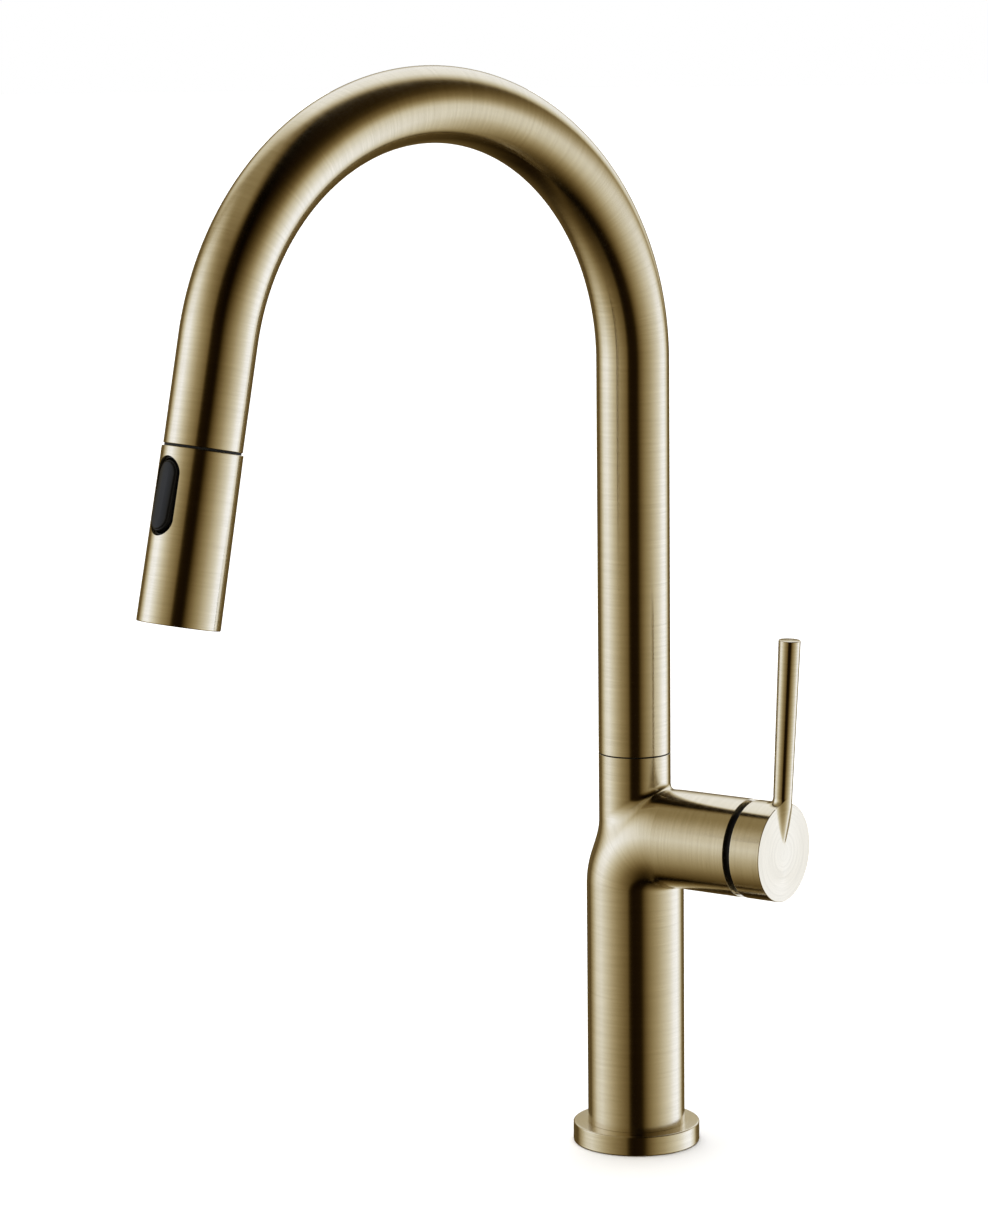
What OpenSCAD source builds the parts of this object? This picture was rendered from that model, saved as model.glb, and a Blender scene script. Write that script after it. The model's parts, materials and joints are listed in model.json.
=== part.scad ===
// Pull-down kitchen faucet: a side-lever mixer with a swivelling arched spout
// and a spray head that pulls out of the spout on a hose.
// Origin: centre of the flange's underside, on the deck plane. +Z is up.
// The lever's barrel points along +X. Millimetres and degrees.

/* [Body] */
// Diameter of the base flange
flange_d = 49.6; // [46:0.2:56]
// Thickness of the base flange
flange_h = 7.7; // [5:0.1:9]
// Outer diameter of the column and of the barrel
body_d = 38; // [38:0.1:39]
// Height of the barrel's axis above the deck
barrel_z = 123; // [110:1:128]
// Height of the seam between the body and the spout
seam_z = 155; // [155:1:170]

/* [Spout] */
// Outer diameter of the spout tube
spout_d = 28; // [28:0.1:30]
// Height at which the spout's arc begins
arc_z = 307.6; // [240:1:330]
// Centreline radius of the spout's arc
arc_r = 99; // [80:1:115]
// Angle that the arc turns through
arc_sweep = 168.7; // [160:0.1:180]
// Straight length after the arc
outlet_len = 38.2; // [34:0.1:60]
// Direction that the spout points in, measured from +X
spout_turn = 256; // [215:1:300]

/* [Spray head] */
// Length of the spray head below the seam
head_len = 62.8; // [60:0.1:70]
// Diameter of the spray head at its top
head_top_d = 28.8; // [28.8:0.1:30]
// Diameter of the spray head at its bottom
head_bottom_d = 29.8; // [29.4:0.1:31]
// Length of the rocker's frame
rocker_l = 28; // [26:0.5:30]
// Width of the rocker's frame
rocker_w = 12.5; // [12:0.1:13]

/* [Handle] */
// Distance from the column's axis to the hub's flat face
hub_face_x = 67.8; // [67.8:0.1:68.5]
// Diameter of the handle's hub
hub_d = 37.8; // [37.6:0.1:38]
// Height of the lever's tip above the deck
lever_top_z = 204.8; // [180:0.1:240]
// Diameter of the lever where it leaves the hub
lever_foot_d = 7.2; // [6.6:0.1:7.6]
// Diameter of the lever at its tip
lever_tip_d = 8.4; // [7.2:0.1:9]
// Lean of the lever away from the column
lever_lean = 2.8; // [0:0.1:4]

/* [Hidden] */
$fn = 96;
eps = 0.01;

// Body shell
body_r = body_d / 2;
column_bore_r = 16.5;
cavity_r = 16.8;
elbow_r = 20;
elbow_z = barrel_z - elbow_r;
gap_w = 2.9;
hub_len = 13;
hub_x = hub_face_x - hub_len;
barrel_end_x = hub_x - gap_w;
spout_r = spout_d / 2;

// Deck side: ports for the supply hoses and holes for the fixing studs
insert_top_z = 22;
hose_bore_r = 5.5;
stud_hole_r = 2.5;
stud_offset = 12.4;
stud_depth = 16;
port_r = 3.5;
port_depth = 12;
port_xy = 8.4;
ports = [[port_xy, port_xy], [port_xy, -port_xy], [-port_xy, -port_xy]];
pipe_r = 3.2;
pipe_bore_r = 2.4;
pipe_seat = 4;
seal_groove = 1.8;
seal_in_r = 19.6;
seal_out_r = 22.6;

// Cartridge stack, all along the barrel's axis, x from the column's axis
block_x = elbow_r;
block_end_x = 24;
case_end_x = 41;
neck_end_x = 46;
case_r = 14;
case_bore_r = 12.4;
neck_r = 11;
neck_bore_r = 9.2;
case_floor = 1.5;
fixed_disc_x = block_end_x + case_floor;
slide_disc_x = fixed_disc_x + 2;
carrier_x = slide_disc_x + 1.8;
turntable_x = 34.4;
collar_x = 39;
pivot_x = 36;
pin_r = 1.2;
pin_len = 17;
stem_slot_drop = 8.2;
stem_slot_h = 12.4;
stem_r = 3;
stem_end_x = 63.8;
finger_r = 1;
ball_r = 1.5;
ball_x = 31.5;
shank_x = pivot_x - 1.8;
cartridge_ports = [[5.5, -5], [-5.5, -5], [0, 5.5]];
cartridge_port_r = 1.8;
port_ring_r = 2.9;
seal_seat = 0.6;
seal_proud = 0.5;
slide_disc_r = 10;
mixing_bowl_r = 3.4;
mixing_bowl_z = 2.5;
carrier_r = 8.5;
carrier_gap = 1.6;
nut_x = 42;
nut_end_x = 47;
gap_ring_r = 17.2;
gap_ring_wall = 1.4;
gap_ring_end_x = hub_x - 0.8;

// Swivel between the body and the spout
washer_h = 0.4;
spout_base_z = seam_z + washer_h;
sleeve_r = 11;
sleeve_bore_r = 9;
sleeve_z = seam_z - 19;
sleeve_top_z = seam_z + 8.4;
bush_in_r = 11.06;
bush_out_r = 12.4;
bush_h = 4.5;
friction_ring_h = 2.4;
shoulder_r = 11.6;
shoulder_z = seam_z - 16;
shoulder_h = 3;
relief_r = 12.8;
clip_z = shoulder_z - 1.4;
clip_h = 1.2;
clip_in_r = 10.2;
clip_out_r = 12.4;
stop_z = shoulder_z + 1.5;
stop_r = 0.9;
stop_groove_r = 10;
stop_pin_r = 10.3;
stop_end_r = 13.2;
straight_ahead = 270;
swivel_each_way = 75;
stop_margin = 3;

// Spout tube and hose
spout_wall = 1.2;
spout_bore_r = spout_r - spout_wall;
hose_r = 4;
hose_way_r = 2.6;
hose_foot_z = 1;
dock_len = 24;
dock_bore_r = 9.7;
dock_inset = 0.4;
hose_split = 30;
fitting_top = 14;
fitting_step = 6;
fitting_r = 6.2;
fitting_shank_r = 5;
fitting_end_s = 4;
screen_r = 4.9;
screen_s = 4.2;
screen_h = 1.2;

// Spray head, s measured down its axis from the end of the spout tube
seam_gap = 0.9;
head_top_r = head_top_d / 2;
head_bottom_r = head_bottom_d / 2;
shell_bore_r = 13;
core_r = 12.8;
neck_out_r = 9.62;
neck_s = -16;
neck_seal_r = 13.6;
neck_seal_play = 0.1;
shell_roof = 1.5;
core_end_s = 55;
core_top_s = 2.5;
core_way_r = 3;
core_way_s = 9;
core_cup_r = 11;
core_cup_h = 7;
face_s = 57.4;
face_h = 4;
face_ring_r = 9.9;
nozzle_count = 20;
nozzle_r = 0.95;
aerator_r = 6;
aerator_wall = 0.9;
aerator_h = 6;
rocker_s = 18.4;
rocker_play = 0.5;
rocker_rim = 0.8;
rocker_floor_r = 8.2;
rocker_floor_h = 0.6;
rocker_base_r = 9.9;
rocker_axis_r = 11.2;
rocker_crown = 0.45;
rocker_sink = 1.1;
rocker_rest_tilt = 3;
rocker_pin_r = 0.8;
rocker_pin_len = rocker_w - 0.6;
plunger_s = rocker_s + 8.2;
plunger_r = 1.8;
plunger_in_r = 2;
plunger_out_r = 10.2;

// Handle
hub_r = hub_d / 2;
hub_wall = 1.5;
hub_bore_r = hub_r - hub_wall;
hub_roof = 3.4;
hub_boss_r = 6;
hub_boss_x = hub_x + 1.4;
hub_edge = 0.35;
lever_set_back = 1.7;
lever_root_z = barrel_z + 4;
lever_foot_z = barrel_z + 18;
grub_r = 1.95;
grub_x = 62.3;
grub_len = 5;
grub_post_r = 2.7;
plug_r = 2.6;
plug_h = 1.2;

// A ring about Z, from z up to z + h
module ring(inner, outer, z, h) {
  translate([0, 0, z])
    difference() {
      cylinder(r = outer, h = h);
      translate([0, 0, -1])
        cylinder(r = inner, h = h + 2);
    }
}

// Turns +Z into +X on the barrel's axis
module on_barrel() {
  translate([0, 0, barrel_z])
    rotate([0, 90, 0])
      children();
}

// A rod on the barrel's axis from x0 to x1
module barrel_rod(r, x0, x1) {
  on_barrel()
    translate([0, 0, x0])
      cylinder(r = r, h = x1 - x0);
}

// A ring on the barrel's axis from x0 to x1
module barrel_ring(inner, outer, x0, x1) {
  on_barrel()
    ring(inner, outer, x0, x1 - x0);
}

// A rod parallel to the barrel's axis, offset by y and z
module side_rod(r, x0, x1, offset) {
  translate([0, offset[0], offset[1]])
    barrel_rod(r, x0, x1);
}

// Turns the spout's plane from XZ to its direction
module at_spout() {
  rotate([0, 0, spout_turn])
    children();
}

// Places children at the end of the spout tube: local -Z runs down the spray head, +X faces outward
module at_outlet() {
  at_spout()
    translate([arc_r * (1 - cos(arc_sweep)), 0, arc_z + arc_r * sin(arc_sweep)])
      rotate([0, arc_sweep - 180, 0])
        translate([0, 0, -outlet_len])
          children();
}

// A ring on the spray head's axis from s0 down to s1
module head_ring(inner, outer, s0, s1) {
  ring(inner, outer, -s1, s1 - s0);
}

// A stretch of pipe bent over the elbow's centre line, from the column to the barrel
module elbow_bend(r, bend_r) {
  translate([elbow_r, 0, elbow_z])
    rotate([90, 0, 0])
      rotate([0, 0, 90])
        rotate_extrude(angle = 90)
          translate([bend_r, 0])
            circle(r = r);
}

// A tube along the spout's line: up from foot_z, over the arc, and on to end_s short of the outlet
module spout_line(inner, outer, foot_z, end_s) {
  difference() {
    spout_bar(outer, foot_z, end_s, 0);
    spout_bar(inner, foot_z, end_s, 1);
  }
}

// The same line as a solid bar, run on past both ends by overrun
module spout_bar(r, foot_z, end_s, overrun) {
  at_spout() {
    translate([0, 0, foot_z - overrun])
      cylinder(r = r, h = arc_z - foot_z + overrun);
    translate([arc_r, 0, arc_z])
      mirror([1, 0, 0])
        rotate([90, 0, 0]) {
          rotate_extrude(angle = arc_sweep)
            translate([arc_r, 0])
              circle(r = r);
          rotate([0, 0, arc_sweep])
            translate([arc_r, 0, 0])
              rotate([-90, 0, 0])
                cylinder(r = r, h = outlet_len - end_s + overrun);
        }
  }
}

// A bar with round ends, its length along Z, pushed out along X
module stadium(length, width, x0, x1) {
  half = (length - width) / 2;
  translate([x0, 0, 0])
    rotate([0, 90, 0]) {
      translate([-half, -width / 2, 0])
        cube([2 * half, width, x1 - x0]);
      for (end = [-half, half])
        translate([end, 0, 0])
          cylinder(r = width / 2, h = x1 - x0);
    }
}

// ---- Base ----

// Turned disc that the column stands on, grooved below for its seal
module base_flange() {
  rounding = 0.5;
  color("darkkhaki")
    difference() {
      rotate_extrude()
        polygon([
          [column_bore_r, 0], [flange_d / 2 - rounding, 0], [flange_d / 2, rounding],
          [flange_d / 2, flange_h - rounding], [flange_d / 2 - rounding, flange_h],
          [column_bore_r, flange_h]
        ]);
      ring(seal_in_r, seal_out_r, -eps, seal_groove + eps);
    }
}

// Rubber ring between the flange and the deck
module deck_seal() {
  color("dimgray")
    ring(seal_in_r + 0.1, seal_out_r - 0.1, 0, seal_groove);
}

// Brass plug in the column's foot: three hose sockets, two stud holes and the hose's way through
module base_insert() {
  color("goldenrod")
    difference() {
      cylinder(r = column_bore_r, h = insert_top_z);
      translate([0, 0, -1])
        cylinder(r = hose_bore_r, h = insert_top_z + 2);
      for (side = [-1, 1])
        translate([0, side * stud_offset, -1])
          cylinder(r = stud_hole_r, h = stud_depth + 1);
      for (port = ports)
        translate([port[0], port[1], 0]) {
          translate([0, 0, -1])
            cylinder(r = port_r, h = port_depth + 1);
          cylinder(r = pipe_bore_r, h = insert_top_z + 1);
          translate([0, 0, insert_top_z - pipe_seat])
            cylinder(r = pipe_r, h = pipe_seat + 1);
        }
    }
}

// One copper pipe from the base insert up round the elbow to the valve block
module water_pipe(port) {
  bend_r = elbow_r - port[0];
  foot_z = insert_top_z - pipe_seat;
  color("peru")
    translate([0, port[1], 0])
      difference() {
        union() {
          translate([port[0], 0, foot_z])
            cylinder(r = pipe_r, h = elbow_z - foot_z);
          elbow_bend(pipe_r, bend_r);
        }
        translate([port[0], 0, foot_z - 1])
          cylinder(r = pipe_bore_r, h = elbow_z - foot_z + 1);
        elbow_bend(pipe_bore_r, bend_r);
      }
}

module hot_pipe() {
  water_pipe(ports[0]);
}

module cold_pipe() {
  water_pipe(ports[1]);
}

module mixed_pipe() {
  water_pipe(ports[2]);
}

// ---- Body ----

// Column, elbow, barrel and the stub that carries the spout, as one hollow casting
module body_shell() {
  color("darkkhaki")
    difference() {
      union() {
        translate([0, 0, flange_h])
          cylinder(r = body_r, h = elbow_z - flange_h);
        elbow_bend(body_r, elbow_r);
        barrel_rod(body_r, elbow_r, barrel_end_x);
        translate([0, 0, elbow_z])
          cylinder(r = spout_r, h = seam_z - elbow_z);
      }
      translate([0, 0, flange_h - 1])
        cylinder(r = column_bore_r, h = insert_top_z - flange_h + 1);
      translate([0, 0, insert_top_z])
        cylinder(r = cavity_r, h = elbow_z - insert_top_z);
      elbow_bend(cavity_r, elbow_r);
      barrel_rod(cavity_r, elbow_r, barrel_end_x + 1);
      translate([0, 0, shoulder_z + shoulder_h])
        cylinder(r = bush_out_r, h = seam_z);
      translate([0, 0, shoulder_z - 1])
        cylinder(r = shoulder_r, h = shoulder_h + 2);
      translate([0, 0, elbow_z + 1])
        cylinder(r = relief_r, h = shoulder_z - elbow_z - 1);
      at_stop()
        cylinder(r = stop_r, h = stop_end_r);
    }
}

// Places children's Z along the stop pin, which points out of the column's back
module at_stop() {
  translate([0, 0, stop_z])
    rotate([0, 0, straight_ahead - 180])
      rotate([0, 90, 0])
        children();
}

// Pin in the body's shoulder that ends the spout's swing
module stop_pin() {
  color("silver")
    at_stop()
      translate([0, 0, stop_pin_r])
        cylinder(r = stop_r, h = stop_end_r - stop_pin_r);
}

// ---- Valve ----

// Brass block that joins the three pipes to the cartridge's ports
module valve_block() {
  pocket = 2.5;
  color("goldenrod")
    difference() {
      barrel_rod(column_bore_r, block_x, block_end_x);
      for (port = ports)
        side_rod(pipe_bore_r, block_x - 1, block_x + pocket, [port[1], -port[0]]);
      for (port = cartridge_ports)
        side_rod(cartridge_port_r, block_x + 1, block_end_x + 1, port);
      for (port = cartridge_ports)
        side_rod(port_ring_r, block_end_x - seal_seat, block_end_x + 1, port);
      feed_slots(pocket);
    }
}

// Milled slots inside the block that lead from each pipe to its cartridge port
module feed_slots(pocket) {
  starts = [[port_xy, -port_xy], [-port_xy, -port_xy], [-port_xy, port_xy]];
  for (i = [0 : 2]) {
    run = cartridge_ports[i] - starts[i];
    translate([block_x + 1, starts[i][0], barrel_z + starts[i][1]])
      rotate([atan2(run[1], run[0]), 0, 0])
        translate([0, 0, -cartridge_port_r / 2])
          cube([pocket - 1, norm(run), cartridge_port_r]);
  }
}

// Rubber rings between the block and the cartridge, one round each port
module port_seals() {
  color("dimgray")
    for (port = cartridge_ports)
      translate([0, port[0], port[1]])
        barrel_ring(cartridge_port_r, port_ring_r - 0.1, block_end_x - seal_seat, block_end_x + seal_proud);
}

// Nylon housing of the cartridge: a cup with a floor of ports and a narrower neck
module cartridge_case() {
  color("ivory")
    difference() {
      union() {
        barrel_rod(case_r, block_end_x, case_end_x);
        barrel_rod(neck_r, case_end_x, neck_end_x);
      }
      barrel_rod(case_bore_r, fixed_disc_x, collar_x + 0.2);
      barrel_rod(neck_bore_r, collar_x, neck_end_x + 1);
      for (port = cartridge_ports)
        side_rod(cartridge_port_r, block_end_x - 1, fixed_disc_x + 1, port);
      for (port = cartridge_ports)
        side_rod(port_ring_r, block_end_x - 1, block_end_x + seal_proud, port);
    }
}

// Ceramic disc with the three ports, held still in the case
module fixed_disc() {
  color("white")
    difference() {
      barrel_rod(case_bore_r - 0.1, fixed_disc_x, slide_disc_x);
      for (port = cartridge_ports)
        side_rod(cartridge_port_r, fixed_disc_x - 1, slide_disc_x + 1, port);
    }
}

// Ceramic disc that slides and turns on the fixed one, hollowed below to join the ports
module sliding_disc() {
  color("whitesmoke")
    difference() {
      barrel_rod(slide_disc_r, slide_disc_x, carrier_x);
      side_rod(mixing_bowl_r, slide_disc_x - 1, slide_disc_x + 1, [0, mixing_bowl_z]);
    }
}

// Nylon carrier that clips on the sliding disc, with the socket for the stem's ball
module disc_carrier() {
  color("steelblue")
    difference() {
      barrel_rod(carrier_r, carrier_x, turntable_x - carrier_gap);
      barrel_rod(ball_r + 0.3, carrier_x + 0.5, turntable_x);
    }
}

// Nylon turntable in the case's neck: it turns with the lever and holds the pivot pin
module turntable() {
  slot_w = 2 * stem_r + 0.5;
  color("slategray")
    difference() {
      union() {
        barrel_rod(case_bore_r - 0.15, turntable_x, collar_x);
        barrel_rod(neck_bore_r - 0.08, collar_x, neck_end_x - 0.5);
      }
      translate([turntable_x - 1, -slot_w / 2, barrel_z - stem_slot_drop])
        cube([neck_end_x - turntable_x + 2, slot_w, stem_slot_h]);
      translate([pivot_x, 0, barrel_z])
        rotate([90, 0, 0])
          cylinder(r = pin_r, h = pin_len, center = true);
    }
}

// Steel pin that the stem rocks on
module pivot_pin() {
  color("silver")
    translate([pivot_x, 0, barrel_z])
      rotate([90, 0, 0])
        cylinder(r = pin_r, h = pin_len, center = true);
}

// Brass stem: a ball that moves the disc, a bore on the pivot pin, and a shank for the handle
module stem() {
  color("goldenrod")
    difference() {
      union() {
        translate([ball_x, 0, barrel_z])
          sphere(r = ball_r);
        barrel_rod(finger_r, ball_x, pivot_x);
        barrel_rod(stem_r, shank_x, stem_end_x);
      }
      translate([pivot_x, 0, barrel_z])
        rotate([90, 0, 0])
          cylinder(r = pin_r + 0.05, h = pin_len, center = true);
    }
}

// Brass ring nut that clamps the cartridge in the barrel
module cartridge_nut() {
  color("goldenrod")
    barrel_ring(neck_r + 0.3, cavity_r - 0.1, nut_x, nut_end_x);
}

// Black trim ring that closes the gap between the barrel and the hub
module gap_ring() {
  color("black") {
    barrel_ring(gap_ring_r - gap_ring_wall, cavity_r - 0.1, nut_end_x + 0.2, barrel_end_x);
    barrel_ring(gap_ring_r - gap_ring_wall, gap_ring_r, barrel_end_x, gap_ring_end_x);
    barrel_ring(neck_r + 0.5, gap_ring_r - gap_ring_wall, nut_end_x + 0.2, nut_end_x + gap_ring_wall);
  }
}

// ---- Handle ----

// Hollow cup with a flat face, bossed inside for the stem and seated for the lever
module handle_hub() {
  color("darkkhaki")
    difference() {
      union() {
        on_barrel()
          rotate_extrude()
            polygon([
              [hub_bore_r, hub_x], [hub_r - hub_edge, hub_x], [hub_r, hub_x + hub_edge],
              [hub_r, hub_face_x - hub_edge], [hub_r - hub_edge, hub_face_x], [0, hub_face_x],
              [0, hub_face_x - hub_roof], [hub_bore_r, hub_face_x - hub_roof]
            ]);
        barrel_rod(hub_boss_r, hub_boss_x, hub_face_x - hub_roof);
        translate([grub_x, 0, barrel_z - hub_bore_r - 0.5])
          cylinder(r = grub_post_r, h = hub_bore_r - stem_r);
      }
      barrel_rod(stem_r + 0.03, hub_boss_x - 1, stem_end_x + 0.2);
      translate([grub_x, 0, barrel_z - hub_r - 1])
        cylinder(r = grub_r, h = hub_r);
      translate([grub_x, 0, barrel_z - hub_r - 1])
        cylinder(r = plug_r, h = plug_h + 1.4);
      lever_solid();
    }
}

// The tapered rod itself, with a pointed root that sinks into the hub's face
module lever_solid() {
  rise = (lever_top_z - barrel_z) / cos(lever_lean);
  root = (lever_root_z - barrel_z) / cos(lever_lean);
  foot = (lever_foot_z - barrel_z) / cos(lever_lean);
  translate([hub_face_x - lever_set_back, 0, barrel_z])
    rotate([0, lever_lean, 0])
      rotate_extrude()
        polygon([
          [0, root], [lever_set_back, root], [lever_foot_d / 2, foot],
          [lever_tip_d / 2, rise - 0.3], [lever_tip_d / 2 - 0.3, rise], [0, rise]
        ]);
}

module lever_rod() {
  color("darkkhaki")
    lever_solid();
}

// Grub screw that grips the stem, with a hexagon socket
module grub_screw() {
  socket_r = 1.15;
  color("silver")
    translate([grub_x, 0, barrel_z - stem_r - grub_len])
      difference() {
        cylinder(r = grub_r, h = grub_len);
        translate([0, 0, -1])
          cylinder(r = socket_r, h = 3, $fn = 6);
      }
}

// Cap over the grub screw's hole
module hub_plug() {
  color("darkkhaki")
    translate([grub_x, 0, barrel_z - hub_r + 0.15])
      cylinder(r = plug_r - 0.05, h = plug_h);
}

// ---- Swivel ----

// Thin washer in the seam that the spout turns on
module slip_washer() {
  color("black")
    ring(bush_in_r + 0.04, spout_r - 0.1, seam_z, washer_h);
}

// Two plastic bushes in the body's stub
module swivel_bushes() {
  color("ivory") {
    ring(bush_in_r, bush_out_r, shoulder_z + shoulder_h, bush_h);
    ring(bush_in_r, bush_out_r, seam_z - bush_h - 0.3, bush_h);
  }
}

// Rubber ring that keeps the spout where it is turned to
module friction_ring() {
  color("dimgray")
    ring(bush_in_r, bush_out_r - 0.1, shoulder_z + shoulder_h + bush_h + 0.5, friction_ring_h);
}

// Brass sleeve brazed into the spout's foot, grooved for the clip and the stop pin
module swivel_sleeve() {
  pin_half_angle = asin(stop_r / sleeve_r) + stop_margin;
  color("goldenrod")
    at_spout()
      difference() {
        union() {
          ring(sleeve_bore_r, sleeve_r, sleeve_z, sleeve_top_z - sleeve_z);
          ring(sleeve_bore_r, spout_bore_r - 0.05, spout_base_z, sleeve_top_z - spout_base_z);
        }
        ring(clip_in_r, sleeve_r + 1, clip_z - 0.1, clip_h + 0.2);
        rotate([0, 0, -180 - swivel_each_way - pin_half_angle])
          translate([0, 0, stop_z - stop_r - 0.25])
            rotate_extrude(angle = 2 * (swivel_each_way + pin_half_angle))
              translate([stop_groove_r, 0])
                square([2, 2 * stop_r + 0.5]);
      }
}

// Steel C-clip that keeps the spout from lifting out
module retaining_clip() {
  mouth = 12;
  color("silver")
    at_spout()
      difference() {
        ring(clip_in_r, clip_out_r, clip_z, clip_h);
        translate([0, -mouth / 2, clip_z - 1])
          cube([clip_out_r + 1, mouth, clip_h + 2]);
      }
}

// ---- Spout ----

// Tube of the spout: a straight rise, the arc, and a straight outlet
module spout_tube() {
  color("darkkhaki")
    spout_line(spout_bore_r, spout_r, spout_base_z, 0);
}

// Plastic guide in the end of the tube that the spray head docks in
module dock_collar() {
  lead_in = 1;
  color("black")
    at_outlet()
      difference() {
        ring(dock_bore_r, spout_bore_r - 0.05, dock_inset, dock_len);
        translate([0, 0, dock_inset - eps])
          cylinder(r1 = dock_bore_r + lead_in, r2 = dock_bore_r, h = lead_in);
      }
}

// Braided hose from the deck, up inside the body and over the arc
module pull_hose() {
  color("gray")
    spout_line(hose_way_r, hose_r, hose_foot_z, hose_split);
}

// Last stretch of the hose, which lengthens as the head is pulled out
module hose_lead() {
  color("gray")
    at_outlet()
      ring(hose_way_r, hose_r, fitting_top, hose_split - fitting_top);
}

// ---- Spray head ----

// Brass end fitting of the hose, screwed into the head's neck
module hose_fitting() {
  color("goldenrod")
    at_outlet() {
      head_ring(hose_way_r, fitting_r, -fitting_top, -fitting_step);
      head_ring(hose_way_r, fitting_shank_r, -fitting_step, fitting_end_s);
    }
}

// Fine screen in front of the head's valve
module inlet_screen() {
  color("silver")
    at_outlet()
      difference() {
        head_ring(0.5, screen_r, screen_s, screen_s + screen_h);
        for (turn = [0 : 60 : 300])
          rotate([0, 0, turn])
            translate([screen_r - 2.1, 0, -screen_s - 2 * screen_h])
              cylinder(r = 0.7, h = 3 * screen_h);
      }
}

// Plastic core with the neck that docks, the inlet and the two water ways
module spray_core() {
  color("dimgray")
    at_outlet()
      difference() {
        union() {
          head_ring(fitting_shank_r, neck_out_r, neck_s, core_top_s + 0.5);
          translate([0, 0, -core_end_s])
            cylinder(r = core_r, h = core_end_s - core_top_s);
        }
        translate([0, 0, -core_way_s])
          cylinder(r = fitting_shank_r, h = core_way_s + 1);
        translate([0, 0, fitting_step])
          cylinder(r = fitting_r + 0.1, h = -neck_s);
        translate([0, 0, -core_end_s + 3])
          cylinder(r = core_way_r, h = core_end_s - 3);
        translate([0, 0, -core_end_s - 1])
          cylinder(r = core_cup_r, h = core_cup_h + 1);
        translate([0, 0, -rocker_s])
          stadium(rocker_l + 0.4, rocker_w + 0.4, rocker_floor_r, core_r + 2);
        translate([plunger_in_r - 1, 0, -plunger_s])
          rotate([0, 90, 0])
            cylinder(r = plunger_r + 0.06, h = core_r);
      }
}

// Rubber ring on the neck that the tube's end rests on when the head is home
module neck_seal() {
  color("black")
    at_outlet()
      head_ring(neck_out_r, neck_seal_r, neck_seal_play, seam_gap);
}

// Brushed metal sleeve of the head, a little wider at its foot, cut for the rocker
module spray_shell() {
  lip = 0.3;
  color("darkkhaki")
    at_outlet()
      difference() {
        rotate_extrude()
          polygon([
            [neck_out_r + 0.1, -seam_gap], [head_top_r - lip, -seam_gap],
            [head_top_r, -seam_gap - lip], [head_bottom_r, -head_len + lip],
            [head_bottom_r - lip, -head_len], [shell_bore_r, -head_len],
            [shell_bore_r, -seam_gap - shell_roof], [neck_out_r + 0.1, -seam_gap - shell_roof]
          ]);
        translate([0, 0, -rocker_s])
          stadium(rocker_l + 0.3, rocker_w + 0.3, rocker_floor_r, head_bottom_r + 2);
      }
}

// Outer surface of the head, moved outward by grow
module head_skin(grow) {
  translate([0, 0, -head_len])
    cylinder(r1 = head_bottom_r + grow, r2 = head_top_r + grow, h = head_len - seam_gap);
}

// Black frame of the rocker, sunk below the sleeve's skin
module rocker_frame() {
  color("black")
    at_outlet()
      intersection() {
        head_skin(-rocker_sink);
        translate([0, 0, -rocker_s])
          difference() {
            stadium(rocker_l, rocker_w, rocker_floor_r, head_bottom_r + 1);
            stadium(rocker_l - 2 * rocker_rim, rocker_w - 2 * rocker_rim,
              rocker_floor_r + rocker_floor_h, 20);
            translate([rocker_axis_r, 0, 0])
              rotate([90, 0, 0])
                cylinder(r = rocker_pin_r, h = rocker_pin_len, center = true);
            translate([rocker_floor_r - 1, 0, rocker_s - plunger_s])
              rotate([0, 90, 0])
                cylinder(r = plunger_r + 0.06, h = 3);
          }
      }
}

// Black rocker that switches the stream, at rest with its lower end out
module rocker_button() {
  l = rocker_l - 2 * rocker_rim - 2 * rocker_play;
  w = rocker_w - 2 * rocker_rim - rocker_play;
  color("black")
    at_outlet()
      translate([rocker_axis_r, 0, -rocker_s])
        rotate([0, -rocker_rest_tilt, 0])
          translate([-rocker_axis_r, 0, rocker_s])
            difference() {
              intersection() {
                head_skin(rocker_crown);
                translate([0, 0, -rocker_s])
                  stadium(l, w, rocker_base_r, head_bottom_r + 2);
              }
              translate([rocker_axis_r, 0, -rocker_s])
                rotate([90, 0, 0])
                  cylinder(r = rocker_pin_r + 0.06, h = rocker_w, center = true);
            }
}

// Steel pin across the frame
module rocker_pin() {
  color("silver")
    at_outlet()
      translate([rocker_axis_r, 0, -rocker_s])
        rotate([90, 0, 0])
          cylinder(r = rocker_pin_r, h = rocker_pin_len, center = true);
}

// Plunger that the rocker pushes to send the water to the spray ring
module diverter_plunger() {
  color("ivory")
    at_outlet()
      translate([plunger_in_r, 0, -plunger_s])
        rotate([0, 90, 0])
          cylinder(r = plunger_r, h = plunger_out_r - plunger_in_r);
}

// Face plate with a ring of holes for the nozzles and a seat for the aerator
module spray_face() {
  color("dimgray")
    at_outlet()
      difference() {
        head_ring(aerator_r + 0.05, shell_bore_r - 0.05, face_s, face_s + face_h);
        for (i = [0 : nozzle_count - 1])
          rotate([0, 0, i * 360 / nozzle_count])
            translate([face_ring_r, 0, -face_s - face_h - 1])
              cylinder(r = nozzle_r, h = face_h + 2);
      }
}

// Rubber nozzles, one in each hole of the face plate
module spray_nozzles() {
  color("gray")
    at_outlet()
      for (i = [0 : nozzle_count - 1])
        rotate([0, 0, i * 360 / nozzle_count])
          translate([face_ring_r, 0, -face_s - face_h - 0.6])
            difference() {
              cylinder(r = nozzle_r - 0.02, h = face_h + 0.6);
              translate([0, 0, -1])
                cylinder(r = 0.4, h = face_h + 3);
            }
}

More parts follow.
